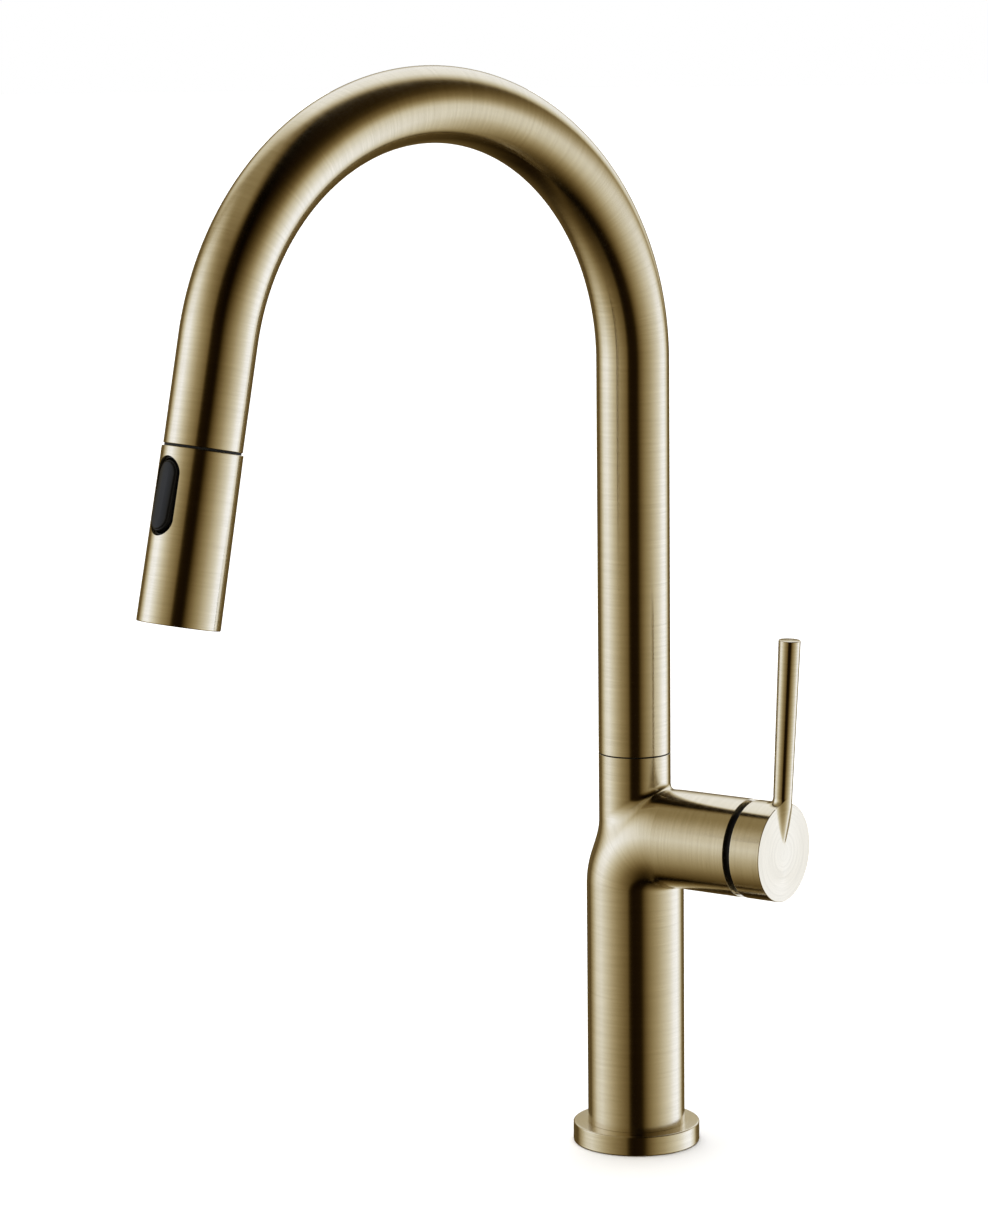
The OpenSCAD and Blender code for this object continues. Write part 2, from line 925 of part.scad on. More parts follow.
// Aerator insert: a ring round a plate with a close pattern of holes
module aerator() {
  plate = 1.6;
  pitch = 1.9;
  foot_s = face_s + face_h + 0.2;
  color("silver")
    at_outlet() {
      head_ring(aerator_r - aerator_wall, aerator_r, foot_s - aerator_h, foot_s);
      difference() {
        head_ring(0.35, aerator_r - aerator_wall, foot_s - plate - 0.3, foot_s - 0.3);
        for (row = [1 : 2])
          for (i = [0 : 6 * row - 1])
            rotate([0, 0, i * 60 / row])
              translate([row * pitch, 0, -foot_s - 1])
                cylinder(r = 0.62, h = 4);
      }
    }
}

base_flange();
deck_seal();
base_insert();
body_shell();
hot_pipe();
cold_pipe();
mixed_pipe();
valve_block();
port_seals();
cartridge_case();
fixed_disc();
sliding_disc();
disc_carrier();
turntable();
pivot_pin();
stem();
cartridge_nut();
gap_ring();
handle_hub();
lever_rod();
grub_screw();
hub_plug();
slip_washer();
swivel_bushes();
friction_ring();
stop_pin();
spout_tube();
swivel_sleeve();
retaining_clip();
dock_collar();
pull_hose();
hose_lead();
hose_fitting();
inlet_screen();
spray_core();
neck_seal();
spray_shell();
rocker_frame();
rocker_button();
rocker_pin();
diverter_plunger();
spray_face();
spray_nozzles();
aerator();
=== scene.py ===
# %% [markdown]
# # A pull-down kitchen faucet in brushed champagne gold
# The frame comes first. It brings in every solid of the part, already in place, in metres.
# What this script adds are the pieces that are seen: they are modelled with the same tools as
# by hand, and each one takes its place from the frame.

# %% Load the frame
import bpy, bmesh, json, math
import numpy as np
from mathutils import Matrix, Vector


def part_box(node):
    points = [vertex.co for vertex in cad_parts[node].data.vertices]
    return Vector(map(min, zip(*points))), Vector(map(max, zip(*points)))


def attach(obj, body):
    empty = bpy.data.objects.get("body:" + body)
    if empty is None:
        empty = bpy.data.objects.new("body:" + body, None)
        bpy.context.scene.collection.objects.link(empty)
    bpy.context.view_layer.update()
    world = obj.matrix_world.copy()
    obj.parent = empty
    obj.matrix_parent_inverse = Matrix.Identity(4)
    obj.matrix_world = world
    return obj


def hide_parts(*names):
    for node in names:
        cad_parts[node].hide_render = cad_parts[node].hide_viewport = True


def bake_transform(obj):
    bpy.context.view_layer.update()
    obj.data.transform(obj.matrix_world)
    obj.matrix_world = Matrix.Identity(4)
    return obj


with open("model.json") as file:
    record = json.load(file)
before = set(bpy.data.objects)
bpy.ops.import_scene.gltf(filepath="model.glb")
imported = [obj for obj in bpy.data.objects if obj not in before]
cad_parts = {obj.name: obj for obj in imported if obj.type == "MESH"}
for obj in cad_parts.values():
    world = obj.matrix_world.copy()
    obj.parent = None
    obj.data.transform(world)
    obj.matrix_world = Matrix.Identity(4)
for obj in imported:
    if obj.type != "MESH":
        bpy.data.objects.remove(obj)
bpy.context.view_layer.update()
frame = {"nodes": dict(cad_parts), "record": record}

RECORD = frame["record"]
JOINTS = {joint["name"]: joint for joint in RECORD["behaviour"]["joints"]}
MM = 0.001

# %% [markdown]
# ## Sizes
# Every place is read from the frame: a node's box gives its ends and its radius, and a
# joint's axis gives a direction. The spout is a tube bent on a former, so it needs three more
# numbers: the former's radius, and the straight lengths before and after the bend.

# %% Sizes from the frame
def span(node, axis):
    """A node's lowest and highest place along an axis, 0 to 2."""
    low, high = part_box(node)
    return low[axis], high[axis]


OUT = Vector(JOINTS["spray_pull"]["axis"]).normalized()
SPOUT_DIR = Vector((OUT.x, OUT.y, 0)).normalized()
SIDE = Vector((-SPOUT_DIR.y, SPOUT_DIR.x, 0))
SWEEP = math.atan2(OUT.xy.length, OUT.z)
UP = Vector((0, 0, 1))

FLANGE_TOP = span("base_flange", 2)[1]
FLANGE_R = span("base_flange", 0)[1]
BODY_R = span("body_shell", 1)[1]
BARREL_Z = (span("handle_hub", 2)[0] + span("handle_hub", 2)[1]) / 2
BARREL_END = span("body_shell", 0)[1]
SEAM_Z = span("body_shell", 2)[1]
BEND_R = 20 * MM
BEND_Z = BARREL_Z - BEND_R
FOOT_Z, SPOUT_TOP = span("spout_tube", 2)
TUBE_R = 14 * MM
ARC_R = 99 * MM
ARC_Z = SPOUT_TOP - ARC_R - TUBE_R
OUTLET_LEN = 38.2 * MM
ARC_END = SPOUT_DIR * (ARC_R * (1 - math.cos(SWEEP))) + UP * (ARC_Z + ARC_R * math.sin(SWEEP))
OUTLET = ARC_END + OUT * OUTLET_LEN
print("sweep", round(math.degrees(SWEEP), 2), "outlet", [round(v, 4) for v in OUTLET])

# %% [markdown]
# The spray head is easier to model upright, with the end of the spout tube at the origin, its
# foot down, and its rocker facing +X. This matrix carries it from there to its place.

# %% The spray head's own frame
HEAD = Matrix.Translation(OUTLET) @ Matrix((
    (*-(SIDE.cross(OUT)), 0), (*SIDE, 0), (*-OUT, 0), (0, 0, 0, 1))).to_3x3().transposed().to_4x4()
HEAD_OUTWARD = HEAD.to_3x3() @ Vector((1, 0, 0))
if HEAD_OUTWARD.dot(SPOUT_DIR) < 0:
    raise SystemExit("the rocker would face the column")
print("head faces", [round(v, 3) for v in HEAD_OUTWARD])

# %% [markdown]
# ## Tools
# An operator acts on whatever is selected, so each tool below first clears the selection.
# `pick` is how a row of points is chosen by its place, as a hand would box-select it.

# %% Helpers for modelling
def clear():
    if bpy.context.object and bpy.context.object.mode != "OBJECT":
        bpy.ops.object.mode_set(mode="OBJECT")
    bpy.ops.object.select_all(action="DESELECT")


def hold(obj):
    clear()
    obj.select_set(True)
    bpy.context.view_layer.objects.active = obj


def begin(name):
    """Names the new primitive, fixes its place in its mesh, and opens it for editing."""
    obj = bpy.context.object
    obj.name = obj.data.name = name
    bpy.ops.object.transform_apply(location=True, rotation=True, scale=True)
    bpy.ops.object.mode_set(mode="EDIT")
    bpy.ops.mesh.select_all(action="SELECT")
    return obj


def pick(obj, test):
    """Selects the points whose place passes the test, and what lies between them."""
    bpy.ops.mesh.select_mode(type="VERT")
    bpy.ops.mesh.select_all(action="DESELECT")
    bm = bmesh.from_edit_mesh(obj.data)
    for vert in bm.verts:
        vert.select = bool(test(vert.co))
    bm.select_flush_mode()
    bmesh.update_edit_mesh(obj.data)
    return sum(vert.select for vert in bm.verts)


def pull(x, y, z):
    bpy.ops.mesh.extrude_region_move(TRANSFORM_OT_translate={"value": (x, y, z)})


def tidy(obj):
    bpy.ops.mesh.select_all(action="SELECT")
    bpy.ops.mesh.remove_doubles(threshold=0.002 * MM)
    bpy.ops.mesh.normals_make_consistent(inside=False)
    bpy.ops.object.mode_set(mode="OBJECT")


def modify(obj, kind, **settings):
    """Adds a modifier and applies it at once."""
    hold(obj)
    modifier = obj.modifiers.new(kind, kind)
    for key, value in settings.items():
        setattr(modifier, key, value)
    bpy.ops.object.modifier_apply(modifier=modifier.name)


def smooth(obj, degrees=30, weighted=True):
    hold(obj)
    bpy.ops.object.shade_smooth_by_angle(angle=math.radians(degrees))
    if weighted:
        modify(obj, "WEIGHTED_NORMAL", keep_sharp=True, weight=100)


def points(obj):
    co = np.empty(len(obj.data.vertices) * 3)
    obj.data.vertices.foreach_get("co", co)
    return co.reshape(-1, 3)


def move_points(obj, co):
    obj.data.vertices.foreach_set("co", np.asarray(co, float).ravel())
    obj.data.update()


# %% [markdown]
# Most of these pieces are turned on a lathe, and the quickest way to a turned shape is a
# lathe here too. A point is extruded from corner to corner along half the section, the corners
# are rounded, and the outline is spun round the axis. `rounded` gives the corners their arcs.

# %% The lathe
def rounded(corners, steps=4):
    """Corners are (r, z) or (r, z, rounding). Gives the outline with an arc at each rounding."""
    outline = []
    for i, corner in enumerate(corners):
        here = Vector(corner[:2])
        if len(corner) < 3:
            outline.append(here)
            continue
        back = (Vector(corners[i - 1][:2]) - here).normalized()
        on = (Vector(corners[(i + 1) % len(corners)][:2]) - here).normalized()
        half = back.angle(on) / 2
        reach = corner[2] / math.tan(half)
        centre = here + (back + on).normalized() * (corner[2] / math.sin(half))
        start, end = here + back * reach - centre, here + on * reach - centre
        turn = start.angle_signed(end)
        outline += [centre + Matrix.Rotation(-turn * k / steps, 2) @ start for k in range(steps + 1)]
    return outline


def lathe(name, corners, steps=160, closed=True):
    """A turned piece about Z, in millimetres."""
    outline = [Vector((r, 0, z)) * MM for r, z in rounded(corners)]
    clear()
    bpy.ops.mesh.primitive_plane_add(size=MM)
    obj = begin(name)
    bpy.ops.mesh.merge(type="CENTER")
    bpy.ops.transform.translate(value=outline[0])
    for a, b in zip(outline, outline[1:]):
        pull(*(b - a))
    if closed:
        ends = (outline[0], outline[-1])
        pick(obj, lambda co: min((co - end).length for end in ends) < 1e-6)
        bpy.ops.mesh.edge_face_add()
    bpy.ops.mesh.select_all(action="SELECT")
    bpy.ops.mesh.spin(steps=steps, angle=2 * math.pi, center=(0, 0, 0), axis=(0, 0, 1))
    tidy(obj)
    return obj


# %% [markdown]
# ## Grain
# The metal is brushed round each tube, so every surface needs to know which way round is. Two
# attributes carry this. `lay` is the place on the tube as if it were straight: across, across,
# and along, so a pattern that is fine along and long across makes rings. `along` is the
# direction at right angles to the scratches, the way in which they spread the light.

# %% Attributes for the brushed grain
def write(obj, name, values):
    layer = obj.data.attributes.new(name, "FLOAT_VECTOR", "POINT")
    layer.data.foreach_set("vector", np.asarray(values, np.float32).ravel())


def brush_turned(obj, origin=(0, 0, 0), axis=(0, 0, 1), shift=0.0):
    """Grain round an axis: rings on a cylinder, circles on a flat face."""
    axis = np.array(Vector(axis).normalized())
    place = points(obj) - np.array(origin)
    height = place @ axis
    radial = place - np.outer(height, axis)
    radius = np.linalg.norm(radial, axis=1)
    one = np.array(Vector(axis).orthogonal().normalized())
    two = np.cross(axis, one)
    write(obj, "lay", np.stack([radial @ one, radial @ two, height + radius + shift], 1))
    normal = np.array([v.normal for v in obj.data.vertices])
    around = np.cross(axis, radial / np.maximum(radius, 1e-9)[:, None])
    write(obj, "along", np.cross(normal, around))


# %% [markdown]
# ## Shared patterns
# Node groups hold the effects that more than one finish uses. Each one is made once, takes
# the place as an input, and gives out only values that change over the surface.

# %% A small shorthand for nodes
def new_group(name, inputs, outputs):
    tree = bpy.data.node_groups.new(name, "ShaderNodeTree")
    for label, kind, value in inputs:
        socket = tree.interface.new_socket(label, in_out="INPUT", socket_type=kind)
        if value is not None:
            socket.default_value = value
    for label, kind in outputs:
        tree.interface.new_socket(label, in_out="OUTPUT", socket_type=kind)
    return tree, tree.nodes.new("NodeGroupInput").outputs, tree.nodes.new("NodeGroupOutput").inputs


def feed(tree, value, socket):
    """Links a value that comes from a node, or sets a plain one."""
    if isinstance(value, bpy.types.NodeSocket):
        tree.links.new(value, socket)
    else:
        socket.default_value = value


def node(tree, kind, inputs=(), **settings):
    """Adds a node, sets it, and feeds its inputs by name or number."""
    made = tree.nodes.new(kind)
    for key, value in settings.items():
        setattr(made, key, value)
    for key, value in dict(inputs).items():
        feed(tree, value, made.inputs[key])
    return made


def calc(tree, operation, a, b=0.0, c=0.0):
    return node(tree, "ShaderNodeMath", {0: a, 1: b, 2: c}, operation=operation).outputs[0]


def between(tree, value, low, high, to_low=0.0, to_high=1.0, smooth_step=False):
    kind = "SMOOTHSTEP" if smooth_step else "LINEAR"
    return node(tree, "ShaderNodeMapRange", {0: value, 1: low, 2: high, 3: to_low, 4: to_high},
                interpolation_type=kind).outputs[0]


def noise(tree, vector, scale, detail=2.0, roughness=0.5):
    return node(tree, "ShaderNodeTexNoise",
                {"Vector": vector, "Scale": scale, "Detail": detail, "Roughness": roughness}).outputs[0]


def mix(tree, factor, a, b):
    """Blends two colours. A mix node keeps its colours at inputs 6 and 7, and the result at 2."""
    return node(tree, "ShaderNodeMix", {"Factor": factor, 6: a, 7: b}, data_type="RGBA").outputs[2]


def ramp(tree, factor, stops):
    """A colour ramp. Each stop is a place and either a grey or a colour."""
    made = node(tree, "ShaderNodeValToRGB", {0: factor})
    elements = made.color_ramp.elements
    while len(elements) < len(stops):
        elements.new(0.5)
    for element, (place, colour) in zip(elements, stops):
        element.position = place
        element.color = (*colour, 1) if isinstance(colour, tuple) else (colour, colour, colour, 1)
    return made.outputs[0]


# %% [markdown]
# The brushed grain is noise stretched round the tube. A fine one makes the scratches, a
# coarser one the faint bands that a belt leaves, and a slow one the cloudy wear of handling.

# %% Brushed grain group
BRUSHED, given, gives = new_group(
    "brushed grain",
    [("Lay", "NodeSocketVector", None), ("Fineness", "NodeSocketFloat", 1.0)],
    [("Scratch", "NodeSocketFloat"), ("Band", "NodeSocketFloat"), ("Cloud", "NodeSocketFloat")])


def stretched(across, along):
    scaled = node(BRUSHED, "ShaderNodeVectorMath", {0: given["Lay"], 1: (across, across, along)},
                  operation="MULTIPLY").outputs[0]
    return node(BRUSHED, "ShaderNodeVectorMath", {0: scaled, "Scale": given["Fineness"]},
                operation="SCALE").outputs[0]


fine = noise(BRUSHED, stretched(90, 5200), 1.0, 3.0, 0.7)
coarse = noise(BRUSHED, stretched(40, 900), 1.0, 2.0, 0.6)
cloud = noise(BRUSHED, given["Lay"], 38.0, 3.0, 0.55)
BRUSHED.links.new(between(BRUSHED, fine, 0.25, 0.75), gives["Scratch"])
BRUSHED.links.new(between(BRUSHED, coarse, 0.25, 0.75), gives["Band"])
BRUSHED.links.new(between(BRUSHED, cloud, 0.3, 0.7), gives["Cloud"])
print("brushed grain", len(BRUSHED.nodes), "nodes")

# %% [markdown]
# Mouldings have a finer, even skin: a spark-eroded mould leaves a grain of small pits with
# no direction. Castings and turned brass parts use the same group, only coarser.

# %% Moulded grain group
MOULDED, given, gives = new_group(
    "moulded grain",
    [("Place", "NodeSocketVector", None), ("Scale", "NodeSocketFloat", 3000.0)],
    [("Pits", "NodeSocketFloat"), ("Cloud", "NodeSocketFloat")])
pits = noise(MOULDED, given["Place"], given["Scale"], 2.0, 0.6)
cloud = noise(MOULDED, given["Place"], 60.0, 3.0, 0.5)
MOULDED.links.new(between(MOULDED, pits, 0.3, 0.7), gives["Pits"])
MOULDED.links.new(between(MOULDED, cloud, 0.3, 0.7), gives["Cloud"])


# %% [markdown]
# ## Finishes
# The plating is a pale gold metal. Brushing makes its gloss uneven in one direction, so the
# shader is anisotropic and its tangent is the `along` attribute, turned with the piece.

# %% Brushed gold
def material(name):
    made = bpy.data.materials.new(name)
    made.use_nodes = True
    tree = made.node_tree
    return made, tree, tree.nodes["Principled BSDF"]


def use(tree, group, inputs):
    return node(tree, "ShaderNodeGroup", inputs, node_tree=group).outputs


GOLD_LIGHT, GOLD_DEEP = (0.77, 0.69, 0.52, 1), (0.61, 0.54, 0.395, 1)


def brushed_gold(name, from_attribute=True, rough=(0.13, 0.22), fineness=1.0, anisotropy=0.85):
    made, tree, shader = material(name)
    if from_attribute:
        lay = node(tree, "ShaderNodeAttribute", attribute_name="lay").outputs["Vector"]
        along = node(tree, "ShaderNodeAttribute", attribute_name="along").outputs["Vector"]
        turned = node(tree, "ShaderNodeVectorTransform", {0: along}, vector_type="VECTOR",
                      convert_from="OBJECT", convert_to="WORLD").outputs[0]
        feed(tree, turned, shader.inputs["Tangent"])
    else:
        lay = node(tree, "ShaderNodeTexCoord").outputs["Object"]
    grain = use(tree, BRUSHED, {"Lay": lay, "Fineness": fineness})
    shade = calc(tree, "MULTIPLY_ADD", grain["Scratch"], 0.5, calc(tree, "MULTIPLY", grain["Band"], 0.5))
    feed(tree, mix(tree, shade, GOLD_DEEP, GOLD_LIGHT), shader.inputs["Base Color"])
    gloss = calc(tree, "MULTIPLY_ADD", grain["Cloud"], 0.3, calc(tree, "MULTIPLY", shade, 0.7))
    feed(tree, between(tree, gloss, 0.0, 1.0, *rough), shader.inputs["Roughness"])
    bump = node(tree, "ShaderNodeBump", {"Height": shade, "Strength": 0.12, "Distance": 0.02 * MM})
    feed(tree, bump.outputs[0], shader.inputs["Normal"])
    shader.inputs["Metallic"].default_value = 1.0
    shader.inputs["Anisotropic"].default_value = anisotropy
    return made


GOLD = brushed_gold("brushed gold")
GOLD_PLAIN = brushed_gold("brushed gold small parts", from_attribute=False, anisotropy=0.0)


# %% [markdown]
# The other finishes are simpler: a colour that varies a little between two tones, a gloss that
# follows the same pattern, and the pits as a fine bump.

# %% The other finishes
def grained(name, dark, light, rough, metallic=0.0, scale=3000.0, bump=0.1, specular=0.5):
    made, tree, shader = material(name)
    place = node(tree, "ShaderNodeTexCoord").outputs["Object"]
    skin = use(tree, MOULDED, {"Place": place, "Scale": scale})
    feed(tree, mix(tree, skin["Cloud"], (*dark, 1), (*light, 1)), shader.inputs["Base Color"])
    blend = calc(tree, "MULTIPLY_ADD", skin["Pits"], 0.5, calc(tree, "MULTIPLY", skin["Cloud"], 0.5))
    feed(tree, between(tree, blend, 0.0, 1.0, *rough), shader.inputs["Roughness"])
    height = node(tree, "ShaderNodeBump",
                  {"Height": skin["Pits"], "Strength": bump, "Distance": 0.02 * MM})
    feed(tree, height.outputs[0], shader.inputs["Normal"])
    shader.inputs["Metallic"].default_value = metallic
    shader.inputs["Specular IOR Level"].default_value = specular
    return made


FINISH = {
    "brushed_gold": GOLD_PLAIN,
    "brass": grained("turned brass", (0.62, 0.45, 0.2), (0.76, 0.6, 0.32), (0.25, 0.42), 1.0, 900),
    "copper": grained("drawn copper", (0.62, 0.33, 0.2), (0.76, 0.46, 0.32), (0.3, 0.45), 1.0, 1200),
    "steel": grained("stainless steel", (0.5, 0.5, 0.49), (0.66, 0.66, 0.65), (0.25, 0.4), 1.0, 1500),
    "rubber": grained("black rubber", (0.008, 0.008, 0.008), (0.015, 0.015, 0.014),
                      (0.6, 0.8), 0.0, 2500, 0.2),
    "nylon": grained("natural nylon", (0.7, 0.67, 0.6), (0.8, 0.78, 0.71), (0.4, 0.55), 0.0, 1800, 0.1),
    "ceramic": grained("lapped ceramic", (0.86, 0.85, 0.8), (0.93, 0.92, 0.88),
                       (0.1, 0.18), 0.0, 2500, 0.03),
    "black_plastic": grained("satin black plastic", (0.002, 0.0021, 0.0024), (0.0038, 0.004, 0.0044),
                             (0.34, 0.44), 0.0, 4200, 0.1, specular=0.24),
    "chromed_mesh": grained("grey moulding", (0.24, 0.24, 0.25), (0.34, 0.34, 0.35),
                            (0.3, 0.42), 0.0, 2500, 0.1),
}

# %% [markdown]
# The hose is braided: two sets of strands cross at an angle, each passing over and under.
# Two slanted waves round the hose give the strands, and their product says which one is on top.

# %% Woven braid
STRANDS = 12
BRAID_PITCH = 3600.0


def braid(name):
    made, tree, shader = material(name)
    place = node(tree, "ShaderNodeTexCoord").outputs["Object"]
    turn = Vector((0, 0, 1)).rotation_difference(OUT).inverted().to_euler()
    centred = node(tree, "ShaderNodeVectorMath", {0: place, 1: tuple(-OUTLET)}, operation="ADD").outputs[0]
    local = node(tree, "ShaderNodeMapping", {"Vector": centred, "Rotation": tuple(turn)}).outputs[0]
    axes = node(tree, "ShaderNodeSeparateXYZ", {0: local}).outputs
    around = calc(tree, "MULTIPLY", calc(tree, "ARCTAN2", axes[1], axes[0]), STRANDS)
    length = calc(tree, "MULTIPLY", axes[2], BRAID_PITCH)
    left = calc(tree, "SINE", calc(tree, "ADD", length, around))
    right = calc(tree, "SINE", calc(tree, "SUBTRACT", length, around))
    strand = calc(tree, "MAXIMUM", calc(tree, "ABSOLUTE", left), calc(tree, "ABSOLUTE", right))
    over = between(tree, calc(tree, "MULTIPLY", left, right), -0.4, 0.4)
    feed(tree, mix(tree, over, (0.05, 0.05, 0.055, 1), (0.2, 0.2, 0.21, 1)), shader.inputs["Base Color"])
    feed(tree, between(tree, over, 0.0, 1.0, 0.55, 0.38), shader.inputs["Roughness"])
    height = node(tree, "ShaderNodeBump", {"Height": strand, "Strength": 0.5, "Distance": 0.2 * MM})
    feed(tree, height.outputs[0], shader.inputs["Normal"])
    return made


FINISH["hose_braid"] = braid("woven braid")


def dress(obj, finish):
    obj.data.materials.clear()
    obj.data.materials.append(finish)


SLOT_OF = {part["node"]: part["material_slot"] for part in RECORD["subparts"]}
for name, slot_name in SLOT_OF.items():
    dress(frame["nodes"][name], FINISH[slot_name])
print(len(SLOT_OF), "solids dressed in", len(FINISH), "finishes")


def place_piece(obj, finish, body, slot, *nodes):
    """Gives a finished piece its material and its body, and hides the solids it stands for. The slot is not
    used.
    """
    dress(obj, finish)
    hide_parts(*nodes)
    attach(obj, body)
    print(obj.name, len(obj.data.polygons), "faces on", body)


# %% [markdown]
# ## Base flange
# On the real one this is a turned disc with softly broken edges. Its section is drawn once,
# with the seal's groove below and the bore for the column, and spun.

# %% Base flange
flange_r, flange_h = FLANGE_R / MM, FLANGE_TOP / MM
bore_r = span("base_insert", 0)[1] / MM
groove_in, groove_out, groove_h = 19.6, 22.6, 1.8
lower_edge, upper_edge = 0.45, 0.55
flange = lathe("flange_disc", [
    (bore_r, 0), (groove_in, 0), (groove_in, groove_h), (groove_out, groove_h), (groove_out, 0),
    (flange_r, 0, lower_edge), (flange_r, flange_h, upper_edge), (bore_r, flange_h)])
smooth(flange)
brush_turned(flange)
place_piece(flange, GOLD, "faucet_body", "brushed_gold", "base_flange")

# %% [markdown]
# ## Body
# The casting is a column that bends over into the barrel, with a thinner stub rising from
# the bend, and all of it flows together in one soft valley. It starts as two simple tubes: a
# circle extruded, spun through the elbow and extruded again, and a cylinder for the stub.
# Each tube runs a little past its end, to be sliced back later.

# %% Two tubes for the body
SPARE = 3 * MM
clear()
bpy.ops.mesh.primitive_circle_add(vertices=96, radius=BODY_R, fill_type="NGON",
                                  location=(0, 0, FLANGE_TOP - SPARE))
body = begin("body_casting")
pull(0, 0, BEND_Z - FLANGE_TOP + SPARE)
bpy.ops.mesh.spin(steps=32, angle=math.pi / 2, center=(BEND_R, 0, BEND_Z), axis=(0, -1, 0))
pull(BARREL_END + SPARE - BEND_R, 0, 0)
tidy(body)
clear()
stub_h = SEAM_Z + SPARE - BEND_Z
bpy.ops.mesh.primitive_cylinder_add(vertices=96, radius=TUBE_R, depth=stub_h,
                                    location=(0, 0, BEND_Z + stub_h / 2))
stub = begin("stub")
tidy(stub)
low, high = points(body).min(0), points(body).max(0)
print("body tube", low.round(4), high.round(4))

# %% [markdown]
# A voxel remesh makes the two tubes one skin, and smoothing takes the steps out of it. That
# alone leaves a lumpy crease, so the next step moves each point onto an exact surface.

# %% One skin
VOXEL = 0.72 * MM
body.select_set(True)
stub.select_set(True)
bpy.context.view_layer.objects.active = body
bpy.ops.object.join()
body.data.remesh_voxel_size = VOXEL
body.data.remesh_voxel_adaptivity = 0
bpy.ops.object.voxel_remesh()
bpy.ops.object.mode_set(mode="EDIT")
bpy.ops.mesh.select_all(action="SELECT")
bpy.ops.mesh.vertices_smooth(factor=0.5, repeat=6)
bpy.ops.object.mode_set(mode="OBJECT")
print("skin", len(body.data.vertices), "points")

# %% [markdown]
# The exact surface is written as a distance: how far a point is outside the bent tube, and
# how far outside the stub. Their smooth minimum joins the two with a fillet, and a few Newton
# steps along its slope bring every point home. The slope also gives the true normals.

# %% Onto the exact surface
FILLET = 3.2 * MM
LEAST_SLOPE = 0.2


def unbend_body(co):
    """Places on the column, elbow and barrel as if the tube were straight, and its direction."""
    x, y, z = co.T
    angle = np.clip(np.arctan2(z - BEND_Z, BEND_R - x), 0, math.pi / 2)
    angle = np.where(z < BEND_Z, 0, np.where(x > BEND_R, math.pi / 2, angle))
    reach = np.where(x > BEND_R, z - BEND_Z, np.hypot(BEND_R - x, z - BEND_Z))
    reach = np.where(z < BEND_Z, BEND_R - x, reach)
    length = BEND_Z + BEND_R * angle + np.minimum(z - BEND_Z, 0) + np.maximum(x - BEND_R, 0)
    along = np.stack([np.sin(angle), 0 * angle, np.cos(angle)], 1)
    return np.stack([BEND_R - reach, y, length], 1), along


def body_distance(co):
    """Distance outside the body, and outside each of its two tubes alone."""
    lay, _ = unbend_body(co)
    tube = np.hypot(lay[:, 0], lay[:, 1]) - BODY_R
    rise = np.hypot(co[:, 0], co[:, 1]) - TUBE_R
    overlap = np.maximum(FILLET - np.abs(tube - rise), 0)
    return np.minimum(tube, rise) - overlap**2 / (4 * FILLET), tube, rise


def slope(distance, co, step):
    """How a distance changes along each axis: the way straight out of the surface."""
    return np.stack([(distance(co + axis) - distance(co - axis)) / (2 * step)
                     for axis in np.eye(3) * step], 1)


def body_slope(co):
    return slope(lambda place: body_distance(place)[0], co, 0.01 * MM)


def unit(vectors):
    return vectors / np.maximum(np.linalg.norm(vectors, axis=1), 1e-9)[:, None]


co = points(body)
for _ in range(6):
    steep = body_slope(co)
    co -= steep * (body_distance(co)[0] / np.maximum((steep**2).sum(1), LEAST_SLOPE))[:, None]
inner = (co[:, 2] > FLANGE_TOP - MM) & (co[:, 0] < BARREL_END + MM) & (co[:, 2] < SEAM_Z + MM)
print("largest miss on the skin", np.abs(body_distance(co[inner])[0]).max() / MM, "mm")
move_points(body, co)

# %% [markdown]
# The three open ends are sliced off square, and each rim is rolled: the loop is extruded in
# small steps that go round a quarter circle, then inward for the wall's thickness.

# %% Slice and roll the rims
def slice_off(obj, place, direction):
    bpy.ops.mesh.select_all(action="SELECT")
    bpy.ops.mesh.bisect(plane_co=place, plane_no=direction, clear_outer=True, use_fill=False)


def roll_rim(obj, end, direction, radius, edge, wall, depth):
    """Rolls an open loop at `end` over an edge of this radius, then in by the wall and back."""
    direction, end = Vector(direction), Vector(end)
    found = pick(obj, lambda co: abs((co - end).dot(direction) + edge) < 0.01 * MM)
    now, gone = radius, -edge
    turns = np.linspace(0, math.pi / 2, 5)[1:]
    stations = [(radius - edge * (1 - math.cos(a)), -edge + edge * math.sin(a)) for a in turns]
    for new_r, new_z in stations + [(radius - wall, 0.0), (radius - wall, -depth)]:
        pull(*(direction * (new_z - gone)))
        bpy.ops.transform.resize(value=(new_r / now,) * 3, center_override=end + direction * new_z)
        now, gone = new_r, new_z
    return found


EDGE, RIM_DEPTH = 0.16 * MM, 5 * MM
COLUMN_WALL, BARREL_WALL, STUB_WALL = 2.4 * MM, 2.2 * MM, 1.6 * MM
ENDS = [
    ((0, 0, FLANGE_TOP), (0, 0, -1), BODY_R, COLUMN_WALL),
    ((BARREL_END, 0, BARREL_Z), (1, 0, 0), BODY_R, BARREL_WALL),
    ((0, 0, SEAM_Z), (0, 0, 1), TUBE_R, STUB_WALL)]
hold(body)
bpy.ops.object.mode_set(mode="EDIT")
for end, direction, radius, wall in ENDS:
    slice_off(body, Vector(end) - Vector(direction) * EDGE, direction)
for end, direction, radius, wall in ENDS:
    print("rim points", roll_rim(body, end, direction, radius, EDGE, wall, RIM_DEPTH))
bpy.ops.mesh.select_all(action="SELECT")
bpy.ops.mesh.normals_make_consistent(inside=False)
bpy.ops.object.mode_set(mode="OBJECT")
smooth(body, 40, weighted=False)


# %% [markdown]
# Normals that come from the faces wander a little on a remeshed skin, and a brushed metal
# shows it. So wherever a corner lies on the exact surface, it is given the exact normal.

